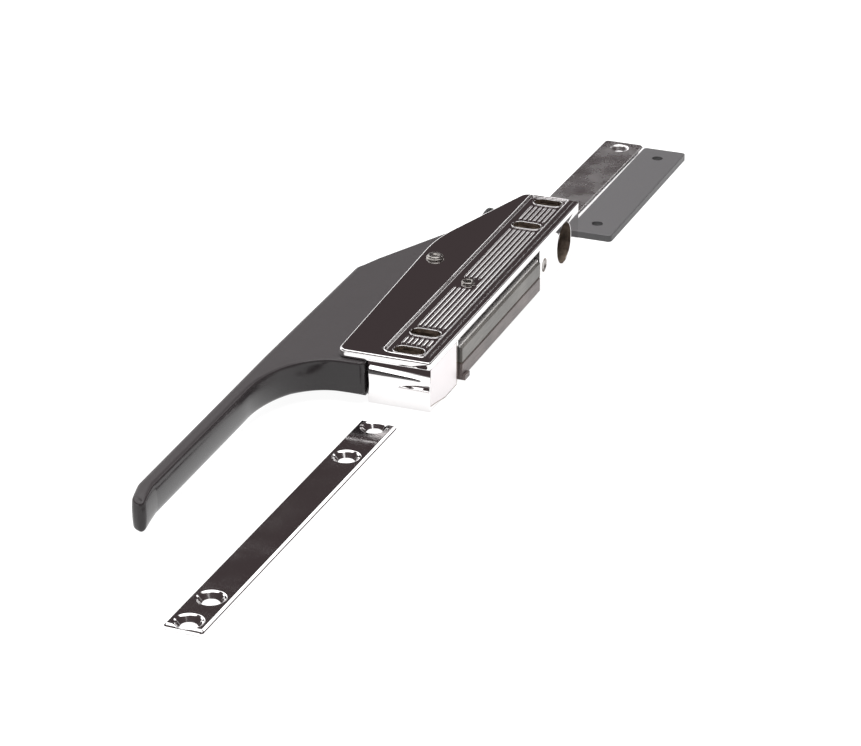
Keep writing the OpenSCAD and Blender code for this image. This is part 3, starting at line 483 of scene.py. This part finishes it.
# Lever handle.
# Zinc casting with a baked black enamel over its fine grain: satin on the broad top, and
# shiny down the barrelled sides of the grip.
def baked_enamel(name, tint, satin, gloss, grain_mm, grain_um):
    """Thin black enamel over a cast skin, with an orange peel of grain_um over grain_mm. Faces that
    look up are satin, upright ones are glossy, and rubbing clouds both over some 30 mm."""
    material, tree, shader, place = new_material(name)
    peel = add(tree, "ShaderNodeTexNoise", Vector=place, Scale=1000 / grain_mm, Detail=3.0)
    bump = add(tree, "ShaderNodeBump", Height=peel.outputs["Fac"], Distance=grain_um * 1e-6, Strength=1.0)
    facing = add(tree, "ShaderNodeSeparateXYZ", Vector=add(tree, "ShaderNodeNewGeometry").outputs["Normal"])
    base = add(tree, "ShaderNodeMapRange", {"interpolation_type": "SMOOTHSTEP"}, Value=facing.outputs["Z"],
               From_Min=0.55, From_Max=0.98, To_Min=gloss, To_Max=satin)
    rub = add(tree, "ShaderNodeTexNoise", Vector=place, Scale=1000 / 30, Detail=5.0)
    cloud = add(tree, "ShaderNodeMapRange", Value=rub.outputs["Fac"], From_Min=0.3, From_Max=0.7,
                To_Min=-0.05, To_Max=0.05)
    rough = add(tree, "ShaderNodeMath", {"operation": "ADD"},
                _0=base.outputs["Result"], _1=cloud.outputs["Result"])
    shader.inputs["Base Color"].default_value = linear(tint)
    shader.inputs["IOR"].default_value = 1.42
    tree.links.new(rough.outputs[0], shader.inputs["Roughness"])
    tree.links.new(bump.outputs["Normal"], shader.inputs["Normal"])
    return material


def lever_skin():
    """The lever's side as rings round its outline, with the top and the underside they end in.
    From below, the rings turn out over the rounded underside, climb the side and turn in over the
    top edge. Along the grip's inner side they draw in by 1 mm at both edges and swell out by up to
    0.7 mm at mid-height, by a power of the distance from it that grows from 2 near the paddle to
    2.6. Towards the tip the top falls and the underside sags, by square laws. The tip reaches
    1.7 mm further than the solid's, as the photograph's outline asks."""
    z0, z1, proud = 5.5, 21.0, 0.04
    corners = [(-67.3, -45.4, 0), (-41.2, -3.4, 0), (-30.8, -2.8, 2.2), (-30.8, 40.4, 3), (-24, 48, 5),
               (-24, 129.1, 8), (-22.4, 150.8, 4), (-22.4, 156.8, 3), (-47.5, 156.8, 9), (-75.4, 97.1, 9),
               (-75.4, -10, 200), (-73.4, -143, 11), (-71.2, -153.9, 4.2), (-64.7, -156.1, 2.2),
               (-66.2, -141, 12)]
    start_x, start_y = corners[0][:2]
    sweep_x, sweep_y = 26.1, 42
    outer_side, tip_end, tip_run = -75.4, -155, 14
    tip_top_fall, tip_sole_sag = 2.6, 0.9
    straight, _ = outline(corners, spacing=2.5)
    past = np.nonzero(np.linalg.norm(straight - corners[1][:2], axis=1) < 1e-6)[0].max() + 1
    a = np.radians(np.linspace(0, 90, 61))
    sweep = np.stack([start_x + sweep_x * (1 - np.cos(a)), start_y + sweep_y * np.sin(a)], axis=1)
    rim = np.concatenate([sweep, straight[past:]])
    rim = rim[np.linalg.norm(rim - np.roll(rim, 1, axis=0), axis=1) > 1e-4]
    along = np.roll(rim, -1, axis=0) - np.roll(rim, 1, axis=0)
    out = np.stack([along[:, 1], -along[:, 0]], axis=1) / np.linalg.norm(along, axis=1, keepdims=True)
    grip = np.clip(3 * rim[:, 1] / start_y, 0, 1)
    tip = np.clip(1 - (rim[:, 1] - tip_end) / tip_run, 0, 1)
    outer = np.clip((6 + outer_side - rim[:, 0]) / 4, 0, 1)
    low, high = 0.6 + 2.0 * grip - tip, 1.1 + 1.1 * outer
    bulge = grip * (1 - 0.6 * tip) * (1 - outer)
    deep = np.clip((-22 - rim[:, 1]) / 30, 0, 1) * bulge
    top_fall, sole_sag = tip_top_fall * tip ** 2, tip_sole_sag * tip ** 2

    def ring(inset, z):
        t = np.clip(2 * (z - z0) / (z1 - z0) - 1, -1, 1)
        swell = 0.7 * deep - (bulge + 0.7 * deep) * np.abs(t) ** (2 + 0.6 * deep)
        flat = rim + out * (proud - inset + swell)[:, None]
        sag = top_fall * np.maximum(t, 0) + sole_sag * np.maximum(-t, 0)
        return level(flat, z + np.where(t > 0, proud, -proud) * np.abs(t) ** 8 - sag)

    rows = [ring(low + 0.15, z0 + 0 * low)]
    rows += [ring(low * (1 - np.sin(a)), z0 + low * (1 - np.cos(a))) for a in quarter]
    rows += [ring(0 * low, (z0 + low) * (1 - k) + (z1 - high) * k) for k in (0.15, 0.3, 0.45, 0.6, 0.75, 0.9)]
    rows += [ring(high * (1 - np.cos(a)), z1 - high + high * np.sin(a)) for a in quarter]
    rows.append(ring(high * 1.1, z1 + 0 * high))
    tip_from, sole_from = -138, -18
    brim = rows[-1]
    first, last = np.nonzero(brim[:, 1] < tip_from)[0][[0, -1]]
    rungs = (last - first + 1) // 2
    ladder = patch([brim[first:first + rungs], brim[last:last - rungs:-1]], around=False)
    wide = np.concatenate([brim[last:], brim[:first + 1]])
    foot = rows[0]
    turn_in = np.nonzero((foot[:, 1] < sole_from) & (np.roll(foot[:, 1], 1) >= sole_from))[0][0]
    sole = np.roll(foot, -turn_in, axis=0)
    sole = sole[:np.nonzero(sole[:, 1] >= sole_from)[0][0]]
    half = (len(sole) + 1) // 2
    underside = patch([sole[:half], sole[::-1][:half]], around=False, flip=True)
    return [patch(rows), ladder, (wide, np.arange(len(wide))[None]), underside]


black_enamel = baked_enamel("baked black enamel", "272425", satin=0.5, gloss=0.17, grain_mm=0.9, grain_um=8)
lever_casting = eased_copy("handle", "lever_casting", 0, cut_at=(0, -41.3, 0), cut_away=(0, -1, 0))
finished(lever_casting, black_enamel)
lever_face = shown_as(skin("lever_face", lever_skin(), sharp=50), "lever_face", "lever")
finished(lever_face, black_enamel)


# Pivot bushes.
# Turned brass sleeves with thin flanges, pressed into the handle's hub from both ends.
def worn_metal(name, tint, roughness):
    """Bare brass or steel with a low sheen that clouds over some 4 mm."""
    material, tree, shader, place = new_material(name)
    cloud = add(tree, "ShaderNodeTexNoise", Vector=place, Scale=1000 / 4, Detail=3.0)
    rough = add(tree, "ShaderNodeMapRange", Value=cloud.outputs["Fac"],
                To_Min=roughness - 0.08, To_Max=roughness + 0.08)
    shader.inputs["Base Color"].default_value = linear(tint)
    shader.inputs["Metallic"].default_value = 1.0
    tree.links.new(rough.outputs["Result"], shader.inputs["Roughness"])
    return material


turned_brass = worn_metal("turned brass", "c8a45c", roughness=0.28)
for node in ("upper_bush", "lower_bush"):
    finished(frame["nodes"][node], turned_brass)


# Plunger spring.
# Hard-drawn steel wire, oiled, closed at both ends.
drawn_wire = worn_metal("oiled spring wire", "8b8a88", roughness=0.3)
finished(frame["nodes"]["plunger_spring"], drawn_wire)


# Lock hole plug.
# Moulded black plastic that snaps into the front of the lock bore.
def moulded_plastic(name, tint, roughness, grain_mm, grain_um):
    """Moulded plastic with the fine, even texture of a spark-eroded mould."""
    material, tree, shader, place = new_material(name)
    texture = add(tree, "ShaderNodeTexNoise", Vector=place, Scale=1000 / grain_mm, Detail=2.0)
    bump = add(tree, "ShaderNodeBump", Height=texture.outputs["Fac"], Distance=grain_um * 1e-6, Strength=1.0)
    shader.inputs["Base Color"].default_value = linear(tint)
    shader.inputs["Roughness"].default_value = roughness
    shader.inputs["IOR"].default_value = 1.5
    tree.links.new(bump.outputs["Normal"], shader.inputs["Normal"])
    return material


black_moulding = moulded_plastic("moulded black plastic", "232324", roughness=0.38, grain_mm=0.5, grain_um=8)
finished(eased_copy("lock_hole_plug", "lock_hole_plug_moulding", 0.2), black_moulding)


# Magnet in its holder.
# Sintered blocks between two ground steel pole plates with a thin brass strip between, held
# in a pressed channel. Blackened steel shows grinding lines along the plates' length; the
# channel is plated bright. Its claws below are given the darker look of the lower plate as
# painted shade. The hidden blocks take the look of the black moulding.
def ground_steel(name, tint, metal, roughness, line_mm, line_um):
    """Steel ground along Y: lines line_mm apart and sixty times longer, clouded over some 18 mm
    from one tint to the other. metal tells bare steel from a blackened or plated skin."""
    material, tree, shader, place = new_material(name)
    across = 1000 / line_mm
    stretched = add(tree, "ShaderNodeMapping", Vector=place, Scale=(across, across / 60, across))
    lines = add(tree, "ShaderNodeTexNoise", Vector=stretched.outputs["Vector"], Scale=1.0, Detail=4.0)
    cloud = add(tree, "ShaderNodeTexNoise", Vector=place, Scale=1000 / 18, Detail=5.0)
    both = add(tree, "ShaderNodeMath", {"operation": "ADD"}, _0=lines.outputs["Fac"], _1=cloud.outputs["Fac"])
    mean = add(tree, "ShaderNodeMath", {"operation": "MULTIPLY"}, _0=both.outputs[0], _1=0.5)
    colour = add(tree, "ShaderNodeValToRGB", Fac=mean.outputs[0])
    colour.color_ramp.elements[0].position, colour.color_ramp.elements[1].position = 0.3, 0.72
    dark, light = np.array(linear(tint[0])), np.array(linear(tint[1]))
    colour.color_ramp.elements[0].color, colour.color_ramp.elements[1].color = dark, light
    bump = add(tree, "ShaderNodeBump", Height=lines.outputs["Fac"], Distance=line_um * 1e-6, Strength=1.0)
    tree.links.new(colour.outputs["Color"], shader.inputs["Base Color"])
    shader.inputs["Metallic"].default_value = metal
    shader.inputs["Roughness"].default_value = roughness
    tree.links.new(bump.outputs["Normal"], shader.inputs["Normal"])
    return material


def half_round(x, y0, y1, z, height, proud, depth=3):
    """A strip with a half-round front, carried along Y and closed at both ends."""
    a = np.radians(np.linspace(-90, 90, 9))
    front = np.stack([x + proud * np.cos(a), z + height / 2 * np.sin(a)], axis=1)
    loop = np.concatenate([front, [[x - depth, z + height / 2], [x - depth, z - height / 2]]])
    ends = [np.stack([loop[:, 0], 0 * loop[:, 0] + y, loop[:, 1]], axis=1) for y in (y0, y1)]
    order = np.arange(len(loop))[None]
    return [patch(ends), (ends[0], order[:, ::-1]), (ends[1], order)]


upper_steel = ground_steel("ground steel, blackened", ("3d3b38", "7c7974"), metal=0.5,
                           roughness=0.36, line_mm=0.25, line_um=5)
lower_steel_and_claw_shade = ground_steel("ground steel, blackened and rubbed, and claw shade", ("3c3635", "7c716e"), metal=0.5,
                           roughness=0.36, line_mm=0.25, line_um=5)
finished(eased_copy("upper_pole_plate", "upper_pole_plate_ground", 0.12), upper_steel)
finished(eased_copy("lower_pole_plate", "lower_pole_plate_ground", 0.12), lower_steel_and_claw_shade)
channel_steel = ground_steel("plated pressed steel", ("cfccca", "f6f4f2"), metal=0.7,
                             roughness=0.25, line_mm=0.4, line_um=3)
channel = eased_copy("magnet_holder", "magnet_holder_channel", 0.15, cut_at=(0, 0, 3.4), cut_away=(0, 0, -1))
finished(channel, channel_steel)
# The claws are part of the bright plated channel; the lower plate's dark on them is painted shade.
claws = eased_copy("magnet_holder", "magnet_holder_claws", 0.15, cut_at=(0, 0, 3.4))
finished(claws, lower_steel_and_claw_shade)
finished(frame["nodes"]["magnet_blocks"], black_moulding)
# The strip's brass is drawn dark, which makes the faint line between the pole plates.
dull_brass = worn_metal("dark dull brass strip", "5f564c", roughness=0.45)
seam_mesh = skin("pole_seam", half_round(x=0.35, y0=38.2, y1=143.4, z=8.7, height=0.6, proud=0.35))
seam = shown_as(seam_mesh, "pole_seam", "magnet", "pole_seam_strip")
finished(seam, dull_brass)


# Clamp bar and strike plate.
# Flats of rolled steel under bright chrome, chamfered all round the top. The bar's chamfer is
# shown 1.45 mm wide, where the solid has 1.1. The rounded mouths of the countersinks shine as
# crescents above the dark cones.
def finely(profile, step):
    """A profile's points again, with straight runs cut so that none is longer than step."""
    points = np.array(profile)
    run = np.concatenate([[0], np.cumsum(np.linalg.norm(np.diff(points, axis=0), axis=1))])
    at = np.union1d(run, np.arange(0, run[-1], step))
    return np.stack([np.interp(at, run, points[:, 0]), np.interp(at, run, points[:, 1])], axis=1).tolist()


def countersunk_top(place, length, width, thick, chamfer, corner, holes, hole_r, sink_r, low):
    """Upper part of a plate from the height low. The surface is the lower of two heights: the
    plate's, which climbs the side and turns over the chamfer, and the countersinks', each a steep
    cone and a shallow mouth turned about its hole, so a sink may break out of an end."""
    half_x, half_y = width / 2, length / 2
    at = [(half_x, -half_y), (half_x, half_y), (-half_x, half_y), (-half_x, -half_y)]
    rim, out = outline([(*xy, corner) for xy in at], spacing=0.5)
    mouth_run, mouth_fall, cone_foot = 1.1, 0.58, 0.4
    mouth = np.array(finely(bent([(hole_r, cone_foot, 0), (sink_r - mouth_run, thick - mouth_fall, 0.2),
                                  (sink_r - 0.25, thick, 0.25), (sink_r + 0.1, thick, 0)]), 0.25))

    def sunk(flat, height):
        away = np.min([np.linalg.norm(flat - (0, y), axis=1) for y in holes], axis=0)
        return level(flat, np.minimum(height, np.interp(away, mouth[:, 0], mouth[:, 1])))

    edge = finely(bent([(0, low, 0), (0, thick - 0.74 * chamfer, 0.8), (chamfer, thick, 0.15),
                        (corner - 0.05, thick, 0)]), 0.2)
    rows = [sunk(rim - out * inset, z) for inset, z in edge]
    x1, y1 = half_x - corner - 0.1, half_y - corner - 0.1
    rows.append(sunk(np.clip(rim, (-x1, -y1), (x1, y1)), thick))
    patches = [patch(rows)]
    reach, ends = sink_r + 0.2, [-y1]
    for y in holes:
        y_low, y_high = max(-y1, y - reach), min(y1, y + reach)
        rings = [level(stadium((0, y), 0, hole_r, 0), low)]
        for r in mouth[:, 0].tolist():
            rings.append(sunk(np.clip(stadium((0, y), 0, r, 0), (-x1, y_low), (x1, y_high)), thick))
        outermost = to_rectangle(stadium((0, y), 0, 1, 0), np.array((0, y)), -x1, y_low, x1, y_high)
        rings.append(sunk(outermost, thick))
        patches.append(patch(rings, flip=True))
        ends += [y_low, y_high]
    ends.append(y1)
    for y_low, y_high in zip(ends[::2], ends[1::2]):
        if y_high > y_low:
            u, v = np.meshgrid([-x1, x1], [y_low, y_high])
            patches.append(patch(np.stack([u, v, 0 * u + thick], axis=-1), around=False))
    x, y, angle = place
    c, s = math.cos(math.radians(angle)), math.sin(math.radians(angle))
    turn = np.array([[c, s, 0], [-s, c, 0], [0, 0, 1]])
    return [(points @ turn + (x, y, 0), quads) for points, quads in patches]


bar_chrome = polished_chrome("chrome plate on steel bar", "eceaea", roughness=0.06,
                             ripple_mm=14, ripple_um=5, smear=0.12)
finished(eased_copy("clamp_bar", "clamp_bar_flat", 0.1, cut_at=(0, 0, 0.5)), bar_chrome)
bar_top = countersunk_top((-17.65, -118.5, -0.9), length=196.6, width=18, thick=3, chamfer=1.45, corner=1.6,
                          holes=(-92.8, -72.6, 61.8, 92.8), hole_r=3.6, sink_r=6.6, low=0.4)
bar = shown_as(skin("clamp_bar_top", bar_top, sharp=50), "clamp_bar_top", "frame")
finished(bar, bar_chrome)
strike_chrome = polished_chrome("chrome plate on rolled steel", "eeecec", roughness=0.2,
                                ripple_mm=5, ripple_um=12, smear=0.2)
strike_flat = eased_copy("strike_plate", "strike_plate_flat", 0.1, cut_at=(0, 0, 0.5))
finished(strike_flat, strike_chrome)
strike_top = countersunk_top((-22.6, 284.3, -1.2), length=114.3, width=21.8, thick=3, chamfer=0.8, corner=2.5,
                             holes=(-48, 48), hole_r=2.8, sink_r=5.4, low=0.4)
strike = shown_as(skin("strike_plate_top", strike_top, sharp=50), "strike_plate_top", "frame")
finished(strike, strike_chrome)


# Strike shim.
# Packing piece of dark grey moulded plastic with two through holes.
grey_moulding = moulded_plastic("moulded dark grey plastic", "3f3e3f", roughness=0.45,
                                grain_mm=0.6, grain_um=14)
finished(eased_copy("strike_shim", "strike_shim_moulding", 0.2), grey_moulding)


# Studio table.
# A white lit sheet: most of its brightness is its own glow, so the shadows on it stay faint.
def table_sheet(size):
    """A square of that size in metres on z = 0, as a grid of two parameters with one cell."""
    u, v = np.meshgrid([-0.5, 0.5], [-0.5, 0.5])
    points = np.stack([u * size, v * size, 0 * u], axis=-1).reshape(-1, 3)
    mesh = bpy.data.meshes.new("studio_table")
    mesh.from_pydata(points.tolist(), [], [(0, 1, 3, 2)])
    sheet = bpy.data.objects.new("studio_table", mesh)
    bpy.context.scene.collection.objects.link(sheet)
    return sheet


table = table_sheet(60)
white_sheet, sheet_tree, sheet_shader, _ = new_material("white lit sheet")
sheet_shader.inputs["Base Color"].default_value = linear("666666")
sheet_shader.inputs["Roughness"].default_value = 0.9
sheet_shader.inputs["Specular IOR Level"].default_value = 0.0
sheet_shader.inputs["Emission Color"].default_value = linear("ffffff")
sheet_shader.inputs["Emission Strength"].default_value = 0.95
table.data.materials.append(white_sheet)


# Studio light.
# The room that the chrome mirrors: a soft box overhead, an upright panel on the right and one
# on the left, a low glow at the left horizon, and dark elsewhere. Level chrome mirrors the dark
# parts, upright chrome the white table, and rounded edges the lights. Where nothing stands, the
# camera sees plain white.
world = bpy.data.worlds.new("studio")
bpy.context.scene.world = world
world.use_nodes = True
sky = world.node_tree
background = sky.nodes["Background"]
direction = add(sky, "ShaderNodeSeparateXYZ", Vector=add(sky, "ShaderNodeTexCoord").outputs["Generated"])
across, ahead, height = (direction.outputs[axis] for axis in "XYZ")
room = add(sky, "ShaderNodeValToRGB", Fac=height)
ramp = room.color_ramp
ramp.elements[0].position, ramp.elements[0].color = 0.0, linear("5c5455")
ramp.elements[1].position, ramp.elements[1].color = 1.0, linear("504849")
for at, colour in ((0.12, "463e40"), (0.3, "443c3d"), (0.6, "443c3d")):
    stop = ramp.elements.new(at)
    stop.color = linear(colour)


def ramped(socket, none, full):
    """Goes smoothly from 0 where the socket has the value none to 1 where it has the value full."""
    return add(sky, "ShaderNodeMapRange", {"interpolation_type": "SMOOTHSTEP"}, Value=socket,
               From_Min=none, From_Max=full).outputs["Result"]


def joined_by(operation, *sockets):
    """One value from two or more sockets, taken in turn."""
    result = sockets[0]
    for socket in sockets[1:]:
        result = add(sky, "ShaderNodeMath", {"operation": operation}, _0=result, _1=socket).outputs[0]
    return result


above = ramped(height, 0.36, 0.41)
overhead_box = joined_by("MULTIPLY", ramped(height, 0.82, 0.88), ramped(ahead, -0.42, -0.3))
right_panel = joined_by("MULTIPLY", above, ramped(across, 0.22, 0.33), ramped(ahead, 0.7, 0.8))
left_panel = joined_by("MULTIPLY", above, ramped(across, -0.4, -0.48), ramped(ahead, 0.12, 0.24))
low_glow = joined_by("MULTIPLY", ramped(height, 0.22, 0.13), ramped(across, -0.2, -0.4))
bright = joined_by("MAXIMUM", left_panel, right_panel, low_glow, overhead_box)
light_level = 2.4
lit = add(sky, "ShaderNodeMixRGB", {"blend_type": "MIX"}, Fac=bright, Color1=room.outputs["Color"],
          Color2=(light_level, light_level, light_level, 1.0))
sky.links.new(lit.outputs["Color"], background.inputs["Color"])
background.inputs["Strength"].default_value = 1.0
camera_ray = add(sky, "ShaderNodeLightPath").outputs["Is Camera Ray"]
seen = add(sky, "ShaderNodeBackground", Color=linear("ffffff"), Strength=1.0)
either = add(sky, "ShaderNodeMixShader", Fac=camera_ray, _1=background.outputs[0], _2=seen.outputs[0])
sky.links.new(either.outputs[0], sky.nodes["World Output"].inputs["Surface"])
bpy.context.scene.view_settings.view_transform = "Standard"

overhead = bpy.data.lights.new("overhead_soft_box", "AREA")
overhead.size, overhead.energy = 2.0, 128
soft_box = bpy.data.objects.new("overhead_soft_box", overhead)
soft_box.location = (0, 0, 2)
soft_box.visible_glossy = False
bpy.context.scene.collection.objects.link(soft_box)


# Camera.
# Placed where the photograph's lines say it stood, at the part's assumed scale: 1.5 m away and
# 25 degrees above the table.
def look(target, distance, yaw, rise, roll, focal_px, image_px=861):
    """Stands distance from target; yaw turns the view left of +Y and rise lifts it, in degrees."""
    yaw, rise, roll = (math.radians(a) for a in (yaw, rise, roll))
    forward = np.array([-math.sin(yaw) * math.cos(rise), math.cos(yaw) * math.cos(rise), -math.sin(rise)])
    right = np.array([math.cos(yaw), math.sin(yaw), 0.0])
    up = np.cross(right, forward)
    right, up = right * math.cos(roll) + up * math.sin(roll), up * math.cos(roll) - right * math.sin(roll)
    data = bpy.data.cameras.new("camera")
    data.sensor_width, data.lens = 36.0, 36.0 * focal_px / image_px
    data.clip_start, data.clip_end = 0.01, 100
    camera = bpy.data.objects.new("camera", data)
    bpy.context.scene.collection.objects.link(camera)
    place = np.eye(4)
    place[:3, 0], place[:3, 1], place[:3, 2] = right, up, -forward
    place[:3, 3] = np.array(target) - distance * forward
    camera.matrix_world = Matrix(place.tolist())
    bpy.context.scene.camera = camera


look(target=(-0.001471, 0.019518, 0.0), distance=1.49537, yaw=21.217, rise=25.113, roll=-0.062,
     focal_px=3292.08)
